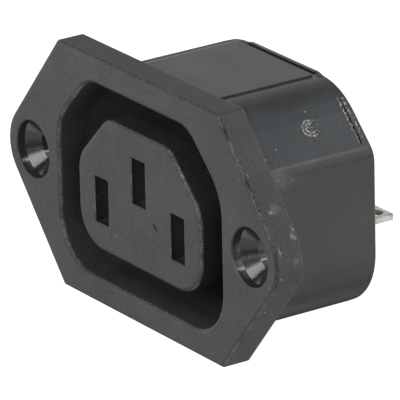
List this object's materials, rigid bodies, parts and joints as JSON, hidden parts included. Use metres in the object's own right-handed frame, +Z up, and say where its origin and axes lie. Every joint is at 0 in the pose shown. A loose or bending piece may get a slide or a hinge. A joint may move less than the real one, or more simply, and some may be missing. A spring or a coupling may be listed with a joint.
{
  "type": "panel power socket",
  "caption": "Screw-fixed panel power socket: an angular flange with countersunk ears, a slotted island in a deep moat, a rear cover and flat solder tabs.",
  "frame": {"origin": "middle between the two screw holes, on the flange's back face where it rests on the panel", "axes": "+X to the right as seen from the front, +Y into the panel towards the tabs, +Z up towards the earth slot"},
  "size_m": [0.0494, 0.0262, 0.0274],
  "materials": {
    "housing_moulding": "black moulded thermoplastic, fine satin texture",
    "cover_moulding": "black moulded thermoplastic, satin",
    "tinned_brass": "stamped sheet with bright tin plating"
  },
  "bodies": {
    "root": {"housing": "housing_moulding", "rear_cover": "cover_moulding", "left_contact": "tinned_brass", "right_contact": "tinned_brass", "earth_contact": "tinned_brass"}
  },
  "joints": []
}
